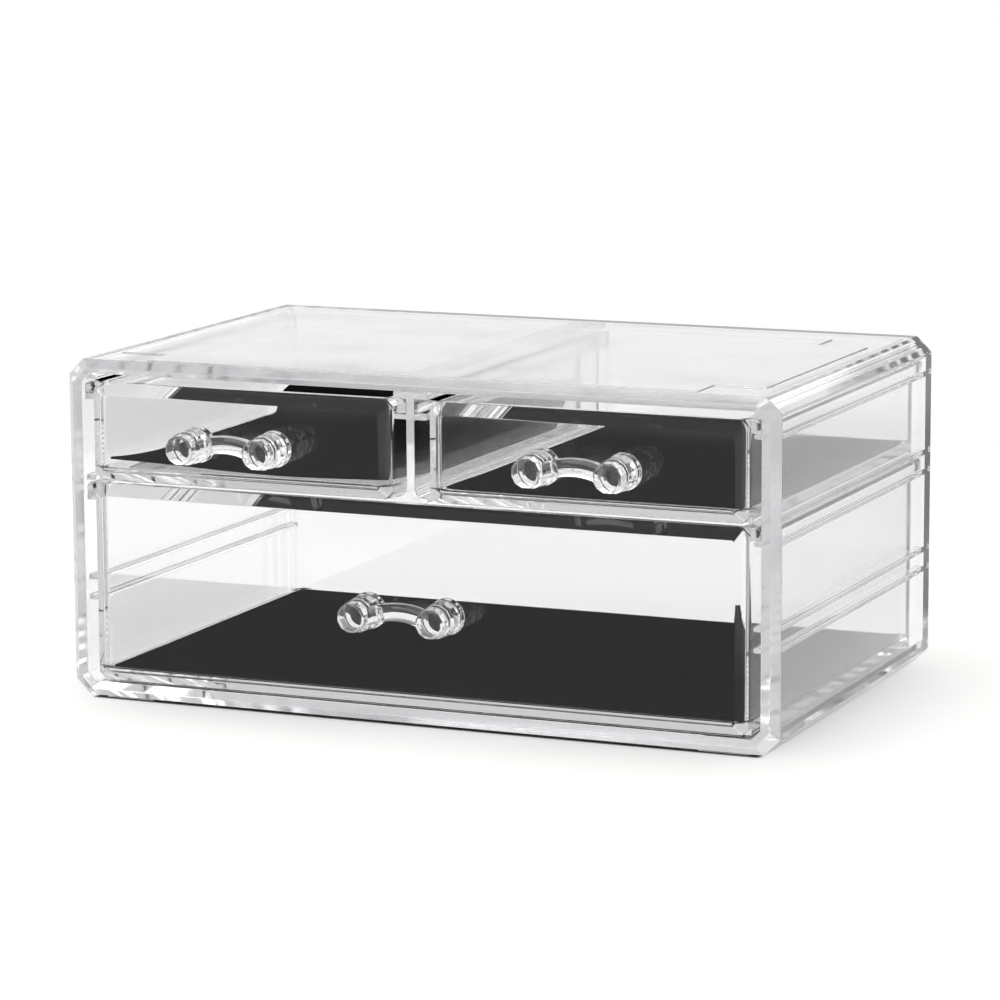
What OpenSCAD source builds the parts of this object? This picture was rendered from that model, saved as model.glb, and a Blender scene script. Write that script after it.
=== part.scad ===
// Clear three-drawer organizer: two small drawers side by side over one wide drawer.
// Millimetres, +Z up. The drawers open towards -Y. The origin is the centre of the
// footprint, handles included, on the surface that the feet stand on.

/* [Case] */
// Width of the case, outside
case_w = 240; // [220:1:300]
// Depth of the case, front rim to back
case_d = 150; // [125:1:200]
// Height of the case, feet to raised field
case_h = 110; // [100:1:150]
// Thickness of the two side walls
side_wall = 5.6; // [4.5:0.1:7]
// Thickness of the top wall, raised field included
top_wall = 4.6; // [4:0.1:6]
// Thickness of the floor
floor_wall = 5.3; // [4:0.1:6.5]
// Thickness of the back wall
back_wall = 3; // [2:0.1:5]
// Flat cut along the four long outer edges
edge_chamfer = 5; // [3:0.1:6]
// Cut along the long inner edges
inner_chamfer = 2.6; // [1:0.1:2.8]
// Bevel round the front rim
front_bevel = 2.5; // [1:0.1:3]
// Bevel round the back edges
rear_bevel = 1.5; // [0.5:0.1:2]

/* [Feet and stacking] */
// Height of the four corner feet
foot_h = 0.7; // [0.5:0.1:2]
// Height of the raised field on the top
field_h = 0.4; // [0.2:0.1:0.6]
// Side edge of the raised field, in from the case side
field_side = 10.5; // [7:0.5:16]
// Front edge of the raised field, in from the case front
field_front = 4; // [3:0.5:8]
// Back edge of the raised field, in from the case back
field_back = 22; // [3:0.5:30]
// Width of the corner notch that takes a foot
notch_w = 16.7; // [12:0.1:22]
// Depth of the corner notch that takes a foot
notch_d = 14; // [10:0.5:20]
// Play of a foot in its notch
stack_play = 0.4; // [0.2:0.1:1]

/* [Runners] */
// Side space between a drawer and the case wall
runner_space = 3.9; // [3:0.1:6]
// Side space between a drawer and the divider
divider_space = 4.9; // [4:0.1:7]
// Height of the channel between two ribs
channel_h = 4.9; // [4:0.1:6]
// Thickness of a runner rib
rib_t = 1.6; // [1:0.1:2.4]
// Gap between the tip of a rib and the drawer
rib_gap = 0.6; // [0.3:0.1:1]
// Middle of the top channel, below the ceiling
channel_drop = 4.7; // [4.6:0.1:6]
// Thickness of the divider
divider_t = 2.8; // [2:0.1:4]
// Glue line between the divider and the case
glue_gap = 0.1; // [0.05:0.05:0.2]
// Round where the divider meets its foot
divider_fillet = 3; // [1:0.1:4]

/* [Drawers] */
// Height between one row and the next
row_gap = 0.9; // [0.5:0.1:2]
// Gap under a flange, where it rides on its rib
seat_gap = 0.3; // [0.2:0.05:0.6]
// Gap over a flange
flange_play = 0.45; // [0.3:0.05:1]
// Gap beside a flange
flange_side_gap = 0.5; // [0.3:0.1:1]
// Cut on the outer top edge of a flange
flange_chamfer = 1.2; // [0.5:0.1:2]
// Front end of a flange, behind the bevel of the panel
flange_inset = 0.6; // [0.2:0.1:2]
// Thickness of the side and back walls
drawer_wall = 2.6; // [1.8:0.1:3.5]
// Thickness of the drawer floor
drawer_floor = 2.8; // [1.8:0.1:4]
// Height of the rim that the floor stands on
skid_h = 0.8; // [0.4:0.1:1.5]
// Thickness of the front panel
front_t = 5; // [4:0.1:6]
// Width of the bevel round the front panel
panel_bevel_w = 3.8; // [2:0.1:4.5]
// Depth of the bevel round the front panel
panel_bevel_d = 2.4; // [1:0.1:3]
// Cut at the four corners of the front panel
panel_corner = 2.5; // [1:0.1:3]
// How far the front panel stands in front of the case
front_proud = 1.6; // [0:0.1:3]
// Gap behind a closed drawer
back_gap = 0.8; // [0.3:0.1:3]
// Round of the inner upright corners
inner_r = 1.5; // [1:0.1:5]
// Round of the outer upright back corners
outer_r = 2; // [1:0.1:3]
// Slope between the inside walls and the floor
floor_slope = 0.6; // [0.3:0.1:2]

/* [Handles] */
// Distance between the two posts
post_pitch = 26.4; // [20:0.1:34]
// Length of a post, from the panel to its flat end
post_len = 15.1; // [13:0.1:24]
// Length of the round base of a post, next to the panel
base_len = 3.2; // [1:0.1:4]
// Diameter of the base at the panel
base_d = 12.2; // [11:0.1:14]
// Diameter of the base where it meets the collar
neck_d = 10.4; // [8:0.1:10.6]
// Width of the back end of a collar, over its points
post_root_d = 11.2; // [10.8:0.1:12]
// Width of a post at its front end, over its points
post_tip_d = 9.2; // [8:0.1:10]
// Length of the collar, the stouter part of a post in front of its base
collar_len = 7.4; // [4:0.1:9]
// Step down from the collar, on the width
collar_step = 0.9; // [0.2:0.1:1.4]
// Bevel round the front end of a post
tip_bevel = 0.6; // [0.2:0.1:1]
// Height of the bar
bar_h = 5.4; // [2.5:0.1:5.6]
// Depth of the bar, front to back
bar_d = 7.4; // [5.6:0.1:9]
// Rise of the bar from the posts to mid-span
bar_rise = 3.8; // [1:0.1:5]
// Ends of the bar, below the axis of the posts
bar_drop = 2.1; // [0:0.1:2.4]
// Middle of the bar, behind the flat end of the posts
bar_back = 6.6; // [4.6:0.1:8]
// Handle axis, below the middle of the panel
handle_drop = 1.6; // [0:0.1:3]
// Diameter of the locating pegs
peg_d = 4; // [2.5:0.1:5]
// Length of the locating pegs
peg_len = 2.4; // [1.5:0.1:3]
// Play of a peg in its socket, on the radius
peg_play = 0.05; // [0.02:0.01:0.1]

/* [Liners] */
// Thickness of the liner mats
liner_t = 0.8; // [0.5:0.1:1.5]
// Gap round a liner mat
liner_gap = 0.8; // [0.3:0.1:2]
// Round of the corners of a liner mat
liner_r = 1; // [0.5:0.1:3]

/* [Hidden] */
rows = 3;
eps = 0.01;
arc = 32;
clear_acrylic = [0.86, 0.89, 0.91, 0.35];
divider_tint = [0.80, 0.84, 0.88, 0.5];
drawer_tint = [0.88, 0.92, 0.95, 0.45];
handle_tint = [0.93, 0.95, 0.97, 0.8];
liner_black = [0.09, 0.09, 0.10];

// Levels of the case
reach = front_proud + post_len;
front_y = (reach - case_d) / 2;
back_y = front_y + case_d - back_wall;
wall_x = case_w / 2 - side_wall;
floor_z = foot_h + floor_wall;
ceiling_z = case_h - top_wall;
body_top = case_h - field_h;
body_h = body_top - foot_h;

// Channels: the drawers of a row end flange_over above the middle of its channel
flange_over = channel_h / 2 - flange_play;
flange_h = channel_h - flange_play - seat_gap;
base_level = floor_z + seat_gap - row_gap - flange_over;
top_level = ceiling_z - channel_drop;
pitch = (top_level - base_level) / rows;

// Drawer places
outer_x = wall_x - runner_space;
inner_x = divider_t / 2 + divider_space;
small_w = outer_x - inner_x;
small_x = (outer_x + inner_x) / 2;
panel_y = front_y - front_proud;
box_y = panel_y + front_t;
box_back = back_y - back_gap;
flange_out = runner_space - flange_side_gap;
flange_in = divider_space - flange_side_gap;
cavity_z = skid_h + drawer_floor;
divider_z = level(rows - 1) + flange_over + row_gap - seat_gap;

function level(i) = base_level + i * pitch;
function row_top(i) = level(i) + flange_over;
function row_bottom(i) = row_top(i - 1) + row_gap;

// Rectangle with its four corners cut at 45 degrees, centred
module cut_rect(w, h, c) {
    polygon([
        [-w / 2 + c, -h / 2], [w / 2 - c, -h / 2],
        [w / 2, -h / 2 + c], [w / 2, h / 2 - c],
        [w / 2 - c, h / 2], [-w / 2 + c, h / 2],
        [-w / 2, h / 2 - c], [-w / 2, -h / 2 + c]
    ]);
}

// Rectangle with round corners, from x0 to x1 and y0 to y1
module round_rect(x0, x1, y0, y1, r) {
    translate([x0 + r, y0]) square([x1 - x0 - 2 * r, y1 - y0]);
    translate([x0, y0 + r]) square([x1 - x0, y1 - y0 - 2 * r]);
    for (x = [x0 + r, x1 - r], y = [y0 + r, y1 - r])
        translate([x, y]) circle(r = r, $fn = arc);
}

// Extrudes an outline drawn in X and Z along +Y, from y0
module along_y(y0, length) {
    translate([0, y0 + length, 0]) rotate([90, 0, 0]) linear_extrude(length) children();
}

// Rib with a round nose: starts at x, points to side, at height z, for one runner
module rib_outline(x, side, z, out) {
    translate([side > 0 ? x : x - out + rib_t / 2, z]) square([out - rib_t / 2, rib_t]);
    translate([x + side * (out - rib_t / 2), z + rib_t / 2]) circle(d = rib_t, $fn = arc);
}

// ---- Case ----

// Outer body: a cut-corner prism whose front rim and back edges are bevelled
module case_body() {
    mid_z = foot_h + body_h / 2;
    hull() {
        along_y(front_y, eps)
            translate([0, mid_z])
                cut_rect(case_w - 2 * front_bevel, body_h - 2 * front_bevel, edge_chamfer);
        along_y(front_y + front_bevel, case_d - front_bevel - rear_bevel)
            translate([0, mid_z]) cut_rect(case_w, body_h, edge_chamfer);
        along_y(front_y + case_d - eps, eps)
            translate([0, mid_z])
                cut_rect(case_w - 2 * rear_bevel, body_h - 2 * rear_bevel, edge_chamfer);
    }
}

// Inside of the case, open at the front
module case_bay() {
    along_y(front_y - 1, case_d - back_wall + 1)
        translate([0, (floor_z + ceiling_z) / 2])
            cut_rect(2 * wall_x, ceiling_z - floor_z, inner_chamfer);
}

// Pairs of ribs that form the runner channels on one side wall
module side_ribs(side) {
    along_y(front_y + front_bevel, case_d - front_bevel - back_wall + eps)
        for (i = [1 : rows], up = [-1, 1])
            rib_outline(side * wall_x, -side,
                level(i) + up * (channel_h + rib_t) / 2 - rib_t / 2,
                runner_space - rib_gap);
}

// Foot in one corner, which fits the notch of the unit below
module foot(sx, back) {
    w = notch_w - stack_play;
    d = notch_d - stack_play;
    x = sx > 0 ? case_w / 2 - field_side - w : -case_w / 2 + field_side;
    y = back ? front_y + case_d - field_back - d : front_y + field_front;
    translate([x, y, 0]) cube([w, d, foot_h + eps]);
}

// Raised field on the top, notched at the corners
module stacking_field() {
    fx = case_w / 2 - field_side;
    fy0 = front_y + field_front;
    fy1 = front_y + case_d - field_back;
    translate([0, 0, body_top - eps]) linear_extrude(field_h + eps) {
        translate([-fx, fy0 + notch_d]) square([2 * fx, fy1 - fy0 - 2 * notch_d]);
        translate([-fx + notch_w, fy0]) square([2 * (fx - notch_w), fy1 - fy0]);
    }
}

module case() {
    color(clear_acrylic) union() {
        difference() {
            case_body();
            case_bay();
        }
        for (s = [-1, 1]) side_ribs(s);
        for (s = [-1, 1], back = [false, true]) foot(s, back);
        stacking_field();
    }
}

// ---- Divider ----

// Round between the web and its foot, on one side
module foot_round(side, z) {
    r = divider_fillet;
    x = side * divider_t / 2;
    difference() {
        translate([side > 0 ? x : x - r, z]) square([r, r]);
        translate([x + side * r, z + r]) circle(r = r, $fn = arc);
    }
}

// Web with a foot, a lower rail and a head, which form the inner channels
module divider_outline() {
    top_z = ceiling_z - glue_gap;
    out = divider_space - rib_gap;
    head_z = level(rows) + channel_h / 2;
    rail_z = level(rows) - channel_h / 2 - rib_t;
    translate([-divider_t / 2, divider_z]) square([divider_t, top_z - divider_z]);
    translate([-divider_t / 2 - out, head_z]) square([divider_t + 2 * out, top_z - head_z]);
    for (s = [-1, 1]) {
        rib_outline(s * divider_t / 2, s, divider_z, out);
        rib_outline(s * divider_t / 2, s, rail_z, out);
        foot_round(s, divider_z + rib_t);
    }
}

module divider() {
    color(divider_tint)
        along_y(front_y + seat_gap, back_y - glue_gap - front_y - seat_gap) divider_outline();
}

// ---- Drawers ----

// Front panel: flat face, bevelled rim and cut corners, centred on x and z
module front_panel(w, h) {
    hull() {
        along_y(0, eps)
            cut_rect(w - 2 * panel_bevel_w, h - 2 * panel_bevel_w, panel_corner * 0.4);
        along_y(panel_bevel_d, front_t - panel_bevel_d) cut_rect(w, h, panel_corner);
    }
}

// Flange along the top of one side wall, from just behind the bevel of the panel
module flange(x, side, out, h) {
    start = panel_y + panel_bevel_d + flange_inset;
    root = x - side * panel_corner;
    along_y(start, box_back - outer_r - start)
        polygon([
            [root, h - flange_h], [x + side * out, h - flange_h],
            [x + side * out, h - flange_chamfer], [x + side * (out - flange_chamfer), h],
            [root, h]
        ]);
}

// Inside of a drawer: round corners and a sloped foot to the walls
module drawer_cavity(x0, x1, h) {
    y0 = box_y;
    y1 = box_back - drawer_wall;
    translate([0, 0, cavity_z + floor_slope - eps])
        linear_extrude(h) round_rect(x0, x1, y0, y1, inner_r);
    hull() {
        translate([0, 0, cavity_z]) linear_extrude(eps)
            round_rect(x0 + floor_slope, x1 - floor_slope, y0 + floor_slope, y1 - floor_slope,
                inner_r);
        translate([0, 0, cavity_z + floor_slope - eps]) linear_extrude(eps)
            round_rect(x0, x1, y0, y1, inner_r);
    }
}

// Sockets for the pegs of a handle
module peg_sockets(x, z) {
    for (s = [-1, 1])
        translate([x + s * post_pitch / 2, panel_y - 1, z]) rotate([-90, 0, 0])
            cylinder(h = peg_len + 0.2 + 1, d = peg_d + 2 * peg_play, $fn = arc);
}

// Drawer from x0 to x1, standing at height z and h high; lip0 and lip1 are its flanges
module drawer(x0, x1, z, h, lip0, lip1) {
    mid = (x0 + x1) / 2;
    color(drawer_tint) translate([0, 0, z]) difference() {
        union() {
            translate([mid, panel_y, h / 2]) front_panel(x1 - x0, h);
            intersection() {
                linear_extrude(h) round_rect(x0, x1, box_y - 2 * outer_r, box_back, outer_r);
                translate([x0 - 1, box_y - eps, 0]) cube([x1 - x0 + 2, case_d, h]);
            }
            flange(x0, -1, lip0, h);
            flange(x1, 1, lip1, h);
        }
        drawer_cavity(x0 + drawer_wall, x1 - drawer_wall, h);
        translate([x0 + drawer_wall, box_y, -1])
            cube([x1 - x0 - 2 * drawer_wall, box_back - drawer_wall - box_y, skid_h + 1]);
        peg_sockets(mid, h / 2 - handle_drop);
    }
}

module drawer_left() {
    drawer(-outer_x, -inner_x, row_bottom(rows), pitch - row_gap, flange_out, flange_in);
}

module drawer_right() {
    drawer(inner_x, outer_x, row_bottom(rows), pitch - row_gap, flange_in, flange_out);
}

module drawer_wide() {
    drawer(-outer_x, outer_x, row_bottom(1), (rows - 1) * pitch - row_gap,
        flange_out, flange_out);
}

// ---- Handles ----

// Cone along Z from height z, wider at its start; sides is 12 on a cut post
module taper(z, h, d_start, d_end, sides) {
    translate([0, 0, z]) cylinder(h = h, d1 = d_start, d2 = d_end, $fn = sides);
}

// Post: a round base, a twelve-sided collar, a slimmer end with a bevelled rim, and its peg
module post() {
    middle_d = (post_root_d + post_tip_d) / 2;
    collar_end = base_len + collar_len;
    end_len = post_len - collar_end - tip_bevel;
    rotate([90, 0, 0]) {
        taper(0, base_len + eps, base_d, neck_d, 2 * arc);
        rotate([0, 0, 15]) {
            taper(base_len, collar_len, post_root_d, middle_d + collar_step / 2, 12);
            taper(collar_end - eps, end_len + 2 * eps, middle_d - collar_step / 2, post_tip_d, 12);
            taper(collar_end + end_len, tip_bevel, post_tip_d, post_tip_d - 2 * tip_bevel, 12);
        }
    }
    rotate([-90, 0, 0]) cylinder(h = peg_len, d = peg_d, $fn = arc);
}

// Bar: an oval section carried along an arc that rises between the posts
module bar() {
    half = post_pitch / 2;
    r = (half * half + bar_rise * bar_rise) / (2 * bar_rise);
    sweep = 2 * asin(half / r);
    side = (bar_d - bar_h) / 2;
    translate([0, bar_back - post_len, bar_rise - bar_drop - r])
        rotate([90, 0, 0]) rotate([0, 0, 90 - sweep / 2])
            rotate_extrude(angle = sweep, $fn = 4 * arc) translate([r, 0]) {
                translate([-bar_h / 2, -side]) square([bar_h, 2 * side]);
                for (s = [-1, 1]) translate([0, s * side]) circle(d = bar_h, $fn = arc);
            }
}

// Handle on a panel whose middle is at x and z
module handle(x, z) {
    color(handle_tint) translate([x, panel_y, z - handle_drop]) {
        for (s = [-1, 1]) translate([s * post_pitch / 2, 0, 0]) post();
        bar();
    }
}

module handle_left() {
    handle(-small_x, row_bottom(rows) + (pitch - row_gap) / 2);
}

module handle_right() {
    handle(small_x, row_bottom(rows) + (pitch - row_gap) / 2);
}

module handle_wide() {
    handle(0, row_bottom(1) + ((rows - 1) * pitch - row_gap) / 2);
}

// ---- Liners ----

// Mat on the floor of a drawer from x0 to x1 that stands at height z
module liner(x0, x1, z) {
    edge = drawer_wall + floor_slope + liner_gap;
    color(liner_black)
        translate([0, 0, z + cavity_z]) linear_extrude(liner_t)
            round_rect(x0 + edge, x1 - edge,
                box_y + floor_slope + liner_gap, box_back - edge, liner_r);
}

module liner_left() {
    liner(-outer_x, -inner_x, row_bottom(rows));
}

module liner_right() {
    liner(inner_x, outer_x, row_bottom(rows));
}

module liner_wide() {
    liner(-outer_x, outer_x, row_bottom(1));
}

case();
divider();
drawer_left();
drawer_right();
drawer_wide();
handle_left();
handle_right();
handle_wide();
liner_left();
liner_right();
liner_wide();
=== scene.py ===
import math
import bmesh
import bpy
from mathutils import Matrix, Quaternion, Vector, noise


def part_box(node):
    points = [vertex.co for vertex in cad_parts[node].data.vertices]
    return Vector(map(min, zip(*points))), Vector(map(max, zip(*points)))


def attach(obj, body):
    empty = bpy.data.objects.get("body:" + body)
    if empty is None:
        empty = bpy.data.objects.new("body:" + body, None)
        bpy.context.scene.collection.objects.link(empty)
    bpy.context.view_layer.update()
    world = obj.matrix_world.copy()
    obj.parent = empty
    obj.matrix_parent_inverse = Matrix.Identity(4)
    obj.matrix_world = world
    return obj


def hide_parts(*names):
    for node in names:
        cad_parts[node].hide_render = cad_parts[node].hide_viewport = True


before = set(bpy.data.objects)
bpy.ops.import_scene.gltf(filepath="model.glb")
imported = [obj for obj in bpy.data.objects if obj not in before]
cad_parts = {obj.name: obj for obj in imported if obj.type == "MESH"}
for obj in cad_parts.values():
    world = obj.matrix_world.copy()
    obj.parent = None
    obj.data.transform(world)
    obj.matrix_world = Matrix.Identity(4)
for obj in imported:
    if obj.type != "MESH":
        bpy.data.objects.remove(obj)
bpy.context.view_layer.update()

mm = 0.001
weld = 0.002 * mm  # points nearer to each other than this are one
sides = ("left", "right", "wide")  # the two small drawers, and the wide one under them


def addNode(tree, kind, **values):
    node = tree.nodes.new(kind)
    for name, value in values.items():
        socket = node.inputs.get(name.replace("_", " "))
        if socket is None:
            setattr(node, name, value)
        else:
            socket.default_value = value
    return node


def join(tree, *pairs):
    for source, target in pairs:
        tree.links.new(source, target)


def newMaterial(name):
    material = bpy.data.materials.new(name)
    material.use_nodes = True
    material.node_tree.nodes.clear()
    return material, material.node_tree


def showPiece(name, mesh, material, body):
    piece = bpy.data.objects.new(name, mesh)
    bpy.context.scene.collection.objects.link(piece)
    mesh.materials.clear()
    mesh.materials.append(material)
    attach(piece, body)
    return piece


def clearAcrylic(name, look):
    material, tree = newMaterial(name)
    output = addNode(tree, "ShaderNodeOutputMaterial")
    plastic = addNode(tree, "ShaderNodeBsdfPrincipled", Base_Color=(*look["colour"], 1),
                      Transmission_Weight=1.0, IOR=look["index"])
    place = addNode(tree, "ShaderNodeTexCoord")
    # polish: faint cloudy wipes, so the gloss is never quite even
    wipe = addNode(tree, "ShaderNodeTexNoise", Scale=look["wipeScale"], Detail=3.0)
    polish = addNode(tree, "ShaderNodeMapRange",
                     From_Min=look["wipeRange"][0], From_Max=look["wipeRange"][1],
                     To_Min=look["polish"][0], To_Max=look["polish"][1])
    # long low waves that a moulding keeps in its flat faces
    wave = addNode(tree, "ShaderNodeTexNoise", Scale=look["waveScale"], Detail=0.0)
    relief = addNode(tree, "ShaderNodeBump", Strength=look["waveRelief"],
                     Distance=look["waveHeight"])
    # lamps and soft light pass straight through, only a little dimmed
    thinFilm = addNode(tree, "ShaderNodeBsdfTransparent", Color=(*look["filmColour"], 1))
    path = addNode(tree, "ShaderNodeLightPath")
    either = addNode(tree, "ShaderNodeMath", operation="MAXIMUM")
    pick = addNode(tree, "ShaderNodeMixShader")
    body = addNode(tree, "ShaderNodeVolumeAbsorption", Density=look["bodyDensity"],
                   Color=(*look["bodyColour"], 1))
    join(tree,
         (place.outputs["Object"], wipe.inputs["Vector"]),
         (wipe.outputs["Fac"], polish.inputs["Value"]),
         (polish.outputs["Result"], plastic.inputs["Roughness"]),
         (place.outputs["Object"], wave.inputs["Vector"]),
         (wave.outputs["Fac"], relief.inputs["Height"]),
         (relief.outputs["Normal"], plastic.inputs["Normal"]),
         (path.outputs["Is Shadow Ray"], either.inputs[0]),
         (path.outputs["Is Diffuse Ray"], either.inputs[1]),
         (either.outputs[0], pick.inputs["Fac"]),
         (plastic.outputs[0], pick.inputs[1]),
         (thinFilm.outputs[0], pick.inputs[2]),
         (pick.outputs[0], output.inputs["Surface"]),
         (body.outputs[0], output.inputs["Volume"]))
    return material


# where a pull stands: the middle between its posts, half their distance, and the panel's face
def pullPlace(side):
    low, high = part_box("handle_" + side)
    baseSize = high[2] - low[2]
    middle = ((low[0] + high[0]) / 2, (low[2] + high[2]) / 2)
    halfPitch = (high[0] - low[0] - baseSize) / 2
    return middle, halfPitch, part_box("drawer_" + side)[0][1]


def capHoles(shape):
    rims = [edge for edge in shape.edges if edge.is_boundary]
    bmesh.ops.holes_fill(shape, edges=rims, sides=0)


# the pulls are cemented in, so the panel shows no socket round their pegs
def fillSockets(shape, side, look):
    middle, halfPitch, panelFace = pullPlace(side)
    inside = []
    for face in shape.faces:
        centre = face.calc_center_median()
        across = min(abs(centre.x - middle[0] - halfPitch), abs(centre.x - middle[0] + halfPitch))
        deep = 5 * weld < centre.y - panelFace < look["socketDepth"]
        if deep and math.hypot(across, centre.z - middle[1]) < look["socketReach"]:
            inside.append(face)
    bmesh.ops.delete(shape, geom=inside, context="FACES")
    capHoles(shape)


# behind its collar a post stands on a slim foot, and it ends a hair inside the panel's face, so
# that light runs on through the joint
def cementPosts(shape, side, look):
    middle, halfPitch, panelFace = pullPlace(side)
    rings = ((look["baseLength"], look["neckRadius"], look["collarInside"]),
             (0.0, look["footRadius"], look["baseReach"]))
    for vert in shape.verts:
        axisX = middle[0] + math.copysign(halfPitch, vert.co.x - middle[0])
        away = math.hypot(vert.co.x - axisX, vert.co.z - middle[1])
        for height, radius, limit in rings:
            onRing = abs(vert.co.y - panelFace + height) < 10 * weld
            if onRing and radius < away < limit:
                vert.co.x = axisX + (vert.co.x - axisX) * radius / away
                vert.co.z = middle[1] + (vert.co.z - middle[1]) * radius / away
    cut = panelFace - look["trim"]
    geometry = shape.verts[:] + shape.edges[:] + shape.faces[:]
    bmesh.ops.bisect_plane(shape, geom=geometry, plane_co=(0, cut, 0), plane_no=(0, 1, 0),
                           clear_outer=True)
    capHoles(shape)
    for vert in shape.verts:
        if abs(vert.co.y - cut) < weld:
            vert.co.y = panelFace + look["sink"]


def polished(nodeName, body, material, look, refit=None):
    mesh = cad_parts[nodeName].data.copy()
    shape = bmesh.new()
    shape.from_mesh(mesh)
    bmesh.ops.remove_doubles(shape, verts=shape.verts, dist=weld)
    if refit:
        refit(shape)
    bmesh.ops.dissolve_limit(shape, angle_limit=math.radians(look["flatWithin"]),
                             verts=shape.verts, edges=shape.edges)
    weight = shape.edges.layers.float.new("bevel_weight_edge")
    for rim in shape.edges:
        if len(rim.link_faces) == 2 and rim.calc_face_angle(0) > math.radians(look["sharpFrom"]):
            rim[weight] = 1.0
    for face in shape.faces:
        face.smooth = True
    shape.to_mesh(mesh)
    shape.free()
    if mesh.attributes.get("custom_normal"):
        mesh.attributes.remove(mesh.attributes["custom_normal"])
    piece = showPiece(nodeName + "Clear", mesh, material, body)
    bevel = piece.modifiers.new("edges", "BEVEL")
    bevel.width = look["edge"]
    bevel.segments = 2
    bevel.limit_method = "WEIGHT"
    bevel.harden_normals = False
    bevel.use_clamp_overlap = False
    bevel.miter_outer = "MITER_SHARP"
    even = piece.modifiers.new("even", "WEIGHTED_NORMAL")
    even.keep_sharp = True
    even.weight = 100
    even.mode = "FACE_AREA"
    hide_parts(nodeName)


caseLook = {
    "colour": (0.997, 0.999, 1.0),
    "index": 1.49,
    # roughness, from the clearest spot to the cloudiest, and how the clouds lie
    "polish": (0.03, 0.08),
    "wipeScale": 45.0,
    "wipeRange": (0.45, 0.75),
    "waveScale": 30.0,
    "waveRelief": 0.8,
    "waveHeight": 0.1 * mm,
    "filmColour": (0.96, 0.965, 0.97),
    "bodyColour": (0.838, 0.842, 0.852),
    "bodyDensity": 10.0,
    "edge": 0.2 * mm,
    # degrees: faces that turn less are one flat, edges that turn more are rounded
    "flatWithin": 0.6,
    "sharpFrom": 28.0,
}
drawerLook = {
    **caseLook,
    "polish": (0.0, 0.03),
    "wipeScale": 60.0,
    "waveRelief": 0.4,
    "socketReach": 3.0 * mm,
    "socketDepth": 4.5 * mm,
}
handleLook = {
    **caseLook,
    "polish": (0.0, 0.005),
    "waveRelief": 0.1,
    "edge": 0.1 * mm,
    # the base behind a collar: its length, its radius at the collar and on the panel, and the
    # widest radii at which a point still belongs to it there
    "baseLength": 3.2 * mm,
    "neckRadius": 3.4 * mm,
    "footRadius": 4.6 * mm,
    "collarInside": 5.35 * mm,
    "baseReach": 7.0 * mm,
    # the joint: cut off in front of the panel's face, then run on behind it
    "trim": 0.05 * mm,
    "sink": 0.05 * mm,
}

caseAcrylic = clearAcrylic("caseAcrylic", caseLook)
drawerAcrylic = clearAcrylic("drawerAcrylic", drawerLook)
handleAcrylic = clearAcrylic("handleAcrylic", handleLook)

polished("case", "case", caseAcrylic, caseLook)
polished("divider", "case", caseAcrylic, caseLook)
for side in sides:
    drawer = "drawer_" + side
    polished(drawer, drawer, drawerAcrylic, drawerLook,
             lambda shape: fillSockets(shape, side, drawerLook))
    polished("handle_" + side, drawer, handleAcrylic, handleLook,
             lambda shape: cementPosts(shape, side, handleLook))
print("clear pieces made")


linerLook = {
    "colour": (0.0035, 0.0035, 0.004),
    "napColour": (0.012, 0.012, 0.013),
    "napScale": 2600.0,
    "napRelief": 0.06,
    "napHeight": 0.15 * mm,
    "patchScale": 28.0,
    "floorGap": 0.07 * mm,
    "thickness": 0.72 * mm,
    "edge": 0.12 * mm,
    "cornerPull": 0.7,
    # spacing of the points, and the mat's own low ripples
    "step": 2.0 * mm,
    "ripple": 0.10 * mm,
    "rippleScale": 22.0,
    "rippleShare": 0.6,
    # lift of the front edge and of the front left corner, above lying flat
    "frontLift": {"left": 2.0 * mm, "right": 0.3 * mm, "wide": 0.15 * mm},
    "cornerLift": {"left": 1.2 * mm, "right": 0.3 * mm, "wide": 0.1 * mm},
    "liftReach": 45 * mm,
    "liftWave": 0.25,
    "liftWaveScale": 70.0,
    # the left mat is buckled up short of the back: from where, and how much askew, then
    # how long and how steep each stretch is
    "turnPlace": {"left": 118.0 * mm},
    "turnSkew": 4.0,
    "turnRound": 2.6 * mm,
    "turnPath": ((7.2 * mm, 74.0), (90.0 * mm, 14.0)),
}


def feltMaterial(look):
    material, tree = newMaterial("blackFelt")
    output = addNode(tree, "ShaderNodeOutputMaterial")
    felt = addNode(tree, "ShaderNodeBsdfPrincipled", Roughness=0.95, Sheen_Weight=0.008,
                   Sheen_Roughness=0.6, Specular_IOR_Level=0.0)
    place = addNode(tree, "ShaderNodeTexCoord")
    nap = addNode(tree, "ShaderNodeTexNoise", Scale=look["napScale"], Detail=2.0)
    patch = addNode(tree, "ShaderNodeTexNoise", Scale=look["patchScale"], Detail=2.0)
    blend = addNode(tree, "ShaderNodeMath", operation="MULTIPLY")
    shade = addNode(tree, "ShaderNodeMix", data_type="RGBA")
    shade.inputs["A"].default_value = (*look["colour"], 1)
    shade.inputs["B"].default_value = (*look["napColour"], 1)
    relief = addNode(tree, "ShaderNodeBump", Strength=look["napRelief"],
                     Distance=look["napHeight"])
    join(tree,
         (place.outputs["Object"], nap.inputs["Vector"]),
         (place.outputs["Object"], patch.inputs["Vector"]),
         (nap.outputs["Fac"], blend.inputs[0]),
         (patch.outputs["Fac"], blend.inputs[1]),
         (blend.outputs[0], shade.inputs["Factor"]),
         (shade.outputs["Result"], felt.inputs["Base Color"]),
         (nap.outputs["Fac"], relief.inputs["Height"]),
         (relief.outputs["Normal"], felt.inputs["Normal"]),
         (felt.outputs[0], output.inputs["Surface"]))
    return material


blackFelt = feltMaterial(linerLook)


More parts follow.
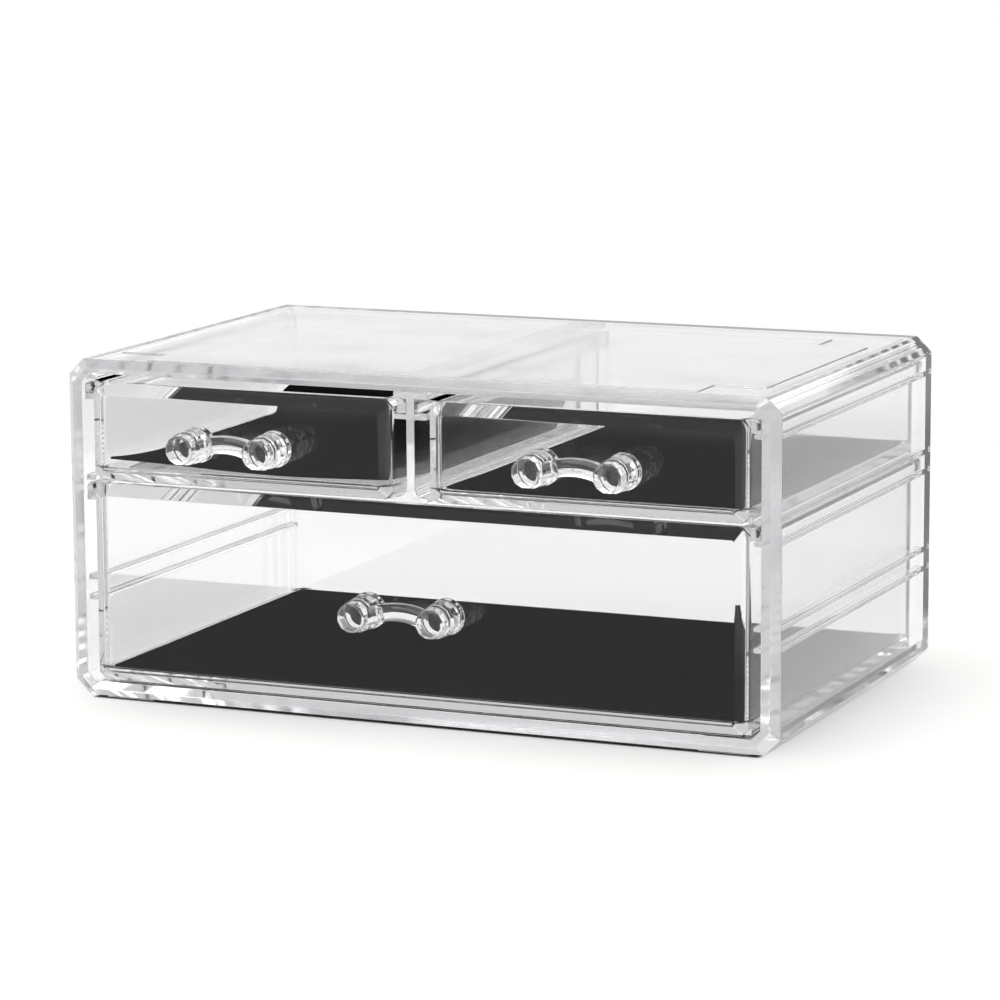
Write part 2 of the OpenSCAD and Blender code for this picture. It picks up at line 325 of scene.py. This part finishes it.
# bends a flat sheet up along a line, without stretching it
def turnUp(point, start, look):
    skew = math.radians(look["turnSkew"])
    along = Vector((math.cos(skew), math.sin(skew), 0))
    beyond = Vector((-math.sin(skew), math.cos(skew), 0))
    reach = (point - start).dot(beyond)
    if reach <= 0:
        return point
    forward = rise = done = slope = 0.0
    tick = 0.1 * mm
    for length, steepness in look["turnPath"]:
        goal = math.radians(steepness)
        end = min(reach, done + length)
        while done < end - tick / 2:
            turn = max(-tick / look["turnRound"], min(tick / look["turnRound"], goal - slope))
            slope += turn
            forward += tick * math.cos(slope)
            rise += tick * math.sin(slope)
            done += tick
    foot = start + along * (point - start).dot(along)
    return foot + beyond * forward + Vector((0, 0, rise + point.z - start.z))


def layMat(side, look):
    nodeName = "liner_" + side
    low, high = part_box(nodeName)
    width = high[0] - low[0]
    depth = high[1] - low[1]
    columns = round(width / look["step"])
    rows = round(depth / look["step"])
    turn = look["turnPlace"].get(side, 2 * depth)
    turnStart = Vector((low[0], low[1] + turn, low[2]))
    shape = bmesh.new()
    grid = []
    for row in range(rows + 1):
        line = []
        for column in range(columns + 1):
            x = low[0] + width * column / columns
            y = low[1] + depth * row / rows
            ahead = max(0.0, 1 - (y - low[1]) / look["liftReach"])
            aside = max(0.0, 1 - (x - low[0]) / look["liftReach"])
            sway = 1 - look["liftWave"] + look["liftWave"] * math.cos(x * look["liftWaveScale"])
            lift = look["frontLift"][side] * ahead ** 2 * sway
            lift += look["cornerLift"][side] * (ahead * aside) ** 2
            # each height has its own ripples
            spot = Vector((x * look["rippleScale"], y * look["rippleScale"], low[2] * 50))
            ripple = look["ripple"] * (noise.noise(spot) + look["rippleShare"])
            z = low[2] + look["floorGap"] + lift + max(0.0, ripple)
            point = turnUp(Vector((x, y, z)), turnStart, look)
            line.append(shape.verts.new(point))
        grid.append(line)
    for row in range(rows):
        for column in range(columns):
            shape.faces.new((grid[row][column], grid[row][column + 1],
                             grid[row + 1][column + 1], grid[row + 1][column]))
    # round the four corners
    for cornerY, rowNear in ((0, 1), (rows, rows - 1)):
        for cornerX, columnNear in ((0, 1), (columns, columns - 1)):
            tip = grid[cornerY][cornerX]
            centre = (grid[rowNear][columnNear].co + tip.co) / 2
            tip.co = centre + (tip.co - centre) * look["cornerPull"]
    mesh = bpy.data.meshes.new(nodeName + "Felt")
    shape.to_mesh(mesh)
    shape.free()
    for face in mesh.polygons:
        face.use_smooth = True
    piece = showPiece(nodeName + "Felt", mesh, blackFelt, "drawer_" + side)
    body = piece.modifiers.new("body", "SOLIDIFY")
    body.thickness = look["thickness"]
    body.offset = 1.0
    edges = piece.modifiers.new("edges", "BEVEL")
    edges.width = look["edge"]
    edges.segments = 2
    edges.limit_method = "ANGLE"
    edges.angle_limit = math.radians(50)
    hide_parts(nodeName)


for side in sides:
    layMat(side, linerLook)
print("liner mats laid")


floorLook = {
    "half": 6.0,
    "nearPaper": (0.93, 0.93, 0.905),
    "farPaper": (1.0, 1.0, 1.0),
    "tintRange": (0.1, 0.6),
    "glow": 0.29,
    # lit paper lies round the chest, and plain white beyond it
    "paperMiddle": (0.0, 0.05),
    "paperHalf": (0.42, 0.34),
    "paperFade": 0.16,
    # grey cards in front of the chest and to its right, seen only in reflections
    "cards": (
        {"level": 0.33, "middle": (-0.14, -0.36), "half": (0.34, 0.30), "fade": 0.05},
        {"level": 0.76, "middle": (0.42, 0.24), "half": (0.28, 0.36), "fade": 0.06},
    ),
    # level after two or more mirrorings inside the plastic
    "deep": 0.82,
    # painted shade: the table under the chest is painted dark in a fixed place, and its glow is
    # taken away there
    "shadeMiddle": (0.0, 0.0085),
    "shadeHalf": (0.1135, 0.0735),
    "shadeFade": 0.0012,
    "shadePaper": (0.05, 0.05, 0.05),
}


# 1 inside a rectangle on the floor and 0 outside it
def boxMask(tree, split, middle, half, fade):
    parts = []
    for axis, centre, reach in zip("XY", middle, half):
        away = addNode(tree, "ShaderNodeMath", operation="SUBTRACT")
        away.inputs[1].default_value = centre
        size = addNode(tree, "ShaderNodeMath", operation="ABSOLUTE")
        edge = addNode(tree, "ShaderNodeMapRange", From_Min=reach - fade, From_Max=reach + fade,
                       To_Min=1.0, To_Max=0.0, interpolation_type="SMOOTHSTEP")
        join(tree,
             (split.outputs[axis], away.inputs[0]),
             (away.outputs[0], size.inputs[0]),
             (size.outputs[0], edge.inputs["Value"]))
        parts.append(edge)
    both = addNode(tree, "ShaderNodeMath", operation="MULTIPLY")
    join(tree,
         (parts[0].outputs["Result"], both.inputs[0]),
         (parts[1].outputs["Result"], both.inputs[1]))
    return both.outputs[0]


# 1 where the light was mirrored this often or more
def turnedRound(tree, path, times):
    often = addNode(tree, "ShaderNodeMath", operation="GREATER_THAN")
    often.inputs[1].default_value = times - 0.5
    join(tree, (path.outputs["Glossy Depth"], often.inputs[0]))
    return often.outputs[0]


def buildFloor(look):
    half = look["half"]
    mesh = bpy.data.meshes.new("floor")
    mesh.from_pydata([(-half, -half, 0), (half, -half, 0), (half, half, 0), (-half, half, 0)],
                     [], [(0, 1, 2, 3)])
    floor = bpy.data.objects.new("floor", mesh)
    bpy.context.scene.collection.objects.link(floor)
    material, tree = newMaterial("floorPaper")
    mesh.materials.append(material)
    output = addNode(tree, "ShaderNodeOutputMaterial")
    place = addNode(tree, "ShaderNodeTexCoord")
    split = addNode(tree, "ShaderNodeSeparateXYZ")
    join(tree, (place.outputs["Object"], split.inputs[0]))
    # the lit paper is warm near the chest and plain white behind it
    tint = addNode(tree, "ShaderNodeMapRange", From_Min=look["tintRange"][0],
                   From_Max=look["tintRange"][1])
    shade = addNode(tree, "ShaderNodeMix", data_type="RGBA")
    shade.inputs["A"].default_value = (*look["nearPaper"], 1)
    shade.inputs["B"].default_value = (*look["farPaper"], 1)
    paper = addNode(tree, "ShaderNodeBsdfDiffuse")
    glow = addNode(tree, "ShaderNodeEmission")
    # painted shade under the chest: inside this box the paper is darkened and its glow falls to
    # nothing
    under = boxMask(tree, split, look["shadeMiddle"], look["shadeHalf"], look["shadeFade"])
    paintedShade = addNode(tree, "ShaderNodeMix", data_type="RGBA")
    paintedShade.inputs["B"].default_value = (*look["shadePaper"], 1)
    glowLevel = addNode(tree, "ShaderNodeMapRange", To_Min=look["glow"], To_Max=0.0)
    lit = addNode(tree, "ShaderNodeAddShader")
    white = addNode(tree, "ShaderNodeEmission", Strength=1.0)
    near = boxMask(tree, split, look["paperMiddle"], look["paperHalf"], look["paperFade"])
    ground = addNode(tree, "ShaderNodeMixShader")
    path = addNode(tree, "ShaderNodeLightPath")
    reflected = turnedRound(tree, path, 1)
    seen = ground.outputs[0]
    for cardLook in look["cards"]:
        card = addNode(tree, "ShaderNodeEmission", Strength=cardLook["level"])
        onCard = boxMask(tree, split, cardLook["middle"], cardLook["half"], cardLook["fade"])
        show = addNode(tree, "ShaderNodeMath", operation="MULTIPLY")
        laid = addNode(tree, "ShaderNodeMixShader")
        join(tree,
             (reflected, show.inputs[0]),
             (onCard, show.inputs[1]),
             (show.outputs[0], laid.inputs["Fac"]),
             (seen, laid.inputs[1]),
             (card.outputs[0], laid.inputs[2]))
        seen = laid.outputs[0]
    deep = addNode(tree, "ShaderNodeEmission", Strength=look["deep"])
    inside = addNode(tree, "ShaderNodeMixShader")
    join(tree,
         (turnedRound(tree, path, 2), inside.inputs["Fac"]),
         (seen, inside.inputs[1]),
         (deep.outputs[0], inside.inputs[2]))
    plain = addNode(tree, "ShaderNodeBsdfDiffuse", Color=(*look["nearPaper"], 1))
    soft = addNode(tree, "ShaderNodeMixShader")
    join(tree,
         (split.outputs["Y"], tint.inputs["Value"]),
         (tint.outputs["Result"], shade.inputs["Factor"]),
         (under, paintedShade.inputs["Factor"]),
         (shade.outputs["Result"], paintedShade.inputs["A"]),
         (paintedShade.outputs["Result"], paper.inputs["Color"]),
         (under, glowLevel.inputs["Value"]),
         (glowLevel.outputs["Result"], glow.inputs["Strength"]),
         (paper.outputs[0], lit.inputs[0]),
         (glow.outputs[0], lit.inputs[1]),
         (near, ground.inputs["Fac"]),
         (white.outputs[0], ground.inputs[1]),
         (lit.outputs[0], ground.inputs[2]),
         (path.outputs["Is Diffuse Ray"], soft.inputs["Fac"]),
         (inside.outputs[0], soft.inputs[1]),
         (plain.outputs[0], soft.inputs[2]),
         (soft.outputs[0], output.inputs["Surface"]))


roomLook = {
    "backdrop": 1.0,
    "softLight": 0.3,
    # levels that only reflections show: the walls', and dimmer ones behind the camera and
    # overhead; each range says where on the sky, along Y or Z, the level changes
    "walls": 0.9,
    "behindCamera": 0.48,
    "frontRange": (-0.97, -0.8),
    "ceiling": 0.7,
    "overRange": (0.35, 0.9),
    "deep": 0.8,
}


def buildRoom(look):
    world = bpy.data.worlds.new("room")
    bpy.context.scene.world = world
    world.use_nodes = True
    tree = world.node_tree
    tree.nodes.clear()
    output = addNode(tree, "ShaderNodeOutputWorld")
    white = (1, 1, 1, 1)
    backdrop = addNode(tree, "ShaderNodeBackground", Color=white, Strength=look["backdrop"])
    room = addNode(tree, "ShaderNodeBackground", Color=white)
    soft = addNode(tree, "ShaderNodeBackground", Color=white, Strength=look["softLight"])
    place = addNode(tree, "ShaderNodeTexCoord")
    split = addNode(tree, "ShaderNodeSeparateXYZ")
    # in reflections the room is dimmer behind the camera and overhead
    front = addNode(tree, "ShaderNodeMapRange", From_Min=look["frontRange"][0],
                    From_Max=look["frontRange"][1], To_Min=look["behindCamera"],
                    To_Max=look["walls"], interpolation_type="SMOOTHSTEP")
    over = addNode(tree, "ShaderNodeMapRange", From_Min=look["overRange"][0],
                   From_Max=look["overRange"][1], To_Min=1.0, To_Max=look["ceiling"],
                   interpolation_type="SMOOTHSTEP")
    level = addNode(tree, "ShaderNodeMath", operation="MULTIPLY")
    path = addNode(tree, "ShaderNodeLightPath")
    deep = addNode(tree, "ShaderNodeBackground", Color=white, Strength=look["deep"])
    seen = addNode(tree, "ShaderNodeMixShader")
    inside = addNode(tree, "ShaderNodeMixShader")
    pick = addNode(tree, "ShaderNodeMixShader")
    join(tree,
         (place.outputs["Generated"], split.inputs[0]),
         (split.outputs["Y"], front.inputs["Value"]),
         (split.outputs["Z"], over.inputs["Value"]),
         (front.outputs["Result"], level.inputs[0]),
         (over.outputs["Result"], level.inputs[1]),
         (level.outputs[0], room.inputs["Strength"]),
         (turnedRound(tree, path, 1), seen.inputs["Fac"]),
         (backdrop.outputs[0], seen.inputs[1]),
         (room.outputs[0], seen.inputs[2]),
         (turnedRound(tree, path, 2), inside.inputs["Fac"]),
         (seen.outputs[0], inside.inputs[1]),
         (deep.outputs[0], inside.inputs[2]),
         (path.outputs["Is Diffuse Ray"], pick.inputs["Fac"]),
         (inside.outputs[0], pick.inputs[1]),
         (soft.outputs[0], pick.inputs[2]),
         (pick.outputs[0], output.inputs["Surface"]))


cameraLook = {
    "place": (0.5292, -1.2233, 0.2929),
    "target": (0.0041, -0.0067, 0.0623),
    "roll": -0.32,
    "lens": 151.05,
}


def buildCamera(look):
    data = bpy.data.cameras.new("camera")
    data.lens = look["lens"]
    data.sensor_width = 36
    data.clip_start = 0.05
    camera = bpy.data.objects.new("camera", data)
    bpy.context.scene.collection.objects.link(camera)
    camera.location = look["place"]
    aim = Vector(look["target"]) - Vector(look["place"])
    roll = Quaternion((0, 0, 1), math.radians(look["roll"]))
    camera.rotation_mode = "QUATERNION"
    camera.rotation_quaternion = aim.to_track_quat("-Z", "Y") @ roll
    bpy.context.scene.camera = camera


# softboxes: place, width and height, and how bright their cloth is, where 1 is white paper
lampLook = {
    "top": {"place": (-0.15, 0.0, 1.3), "size": (1.3, 0.9), "level": 2.0},
    "left": {"place": (-1.1, -0.6, 0.6), "size": (0.9, 0.9), "level": 1.8},
    "right": {"place": (1.1, -0.2, 0.55), "size": (0.8, 0.8), "level": 1.5},
    "back": {"place": (-0.2, 1.5, 0.9), "size": (1.6, 0.5), "level": 1.6},
}
lampAim = Vector((0, 0, 0.05))


def buildLamp(name, look):
    width, height = look["size"]
    data = bpy.data.lights.new(name, "AREA")
    data.shape = "RECTANGLE"
    data.size = width
    data.size_y = height
    data.energy = look["level"] * math.pi * width * height
    lamp = bpy.data.objects.new(name, data)
    bpy.context.scene.collection.objects.link(lamp)
    lamp.location = look["place"]
    lamp.rotation_mode = "QUATERNION"
    lamp.rotation_quaternion = (lampAim - Vector(look["place"])).to_track_quat("-Z", "Y")
    lamp.visible_camera = False


buildFloor(floorLook)
buildRoom(roomLook)
buildCamera(cameraLook)
for name, look in lampLook.items():
    buildLamp(name, look)

scene = bpy.context.scene
scene.view_settings.view_transform = "Standard"
scene.cycles.max_bounces = 32
scene.cycles.transmission_bounces = 32
scene.cycles.glossy_bounces = 24
scene.cycles.transparent_max_bounces = 32
scene.cycles.caustics_reflective = False
scene.cycles.caustics_refractive = False
print("studio ready")
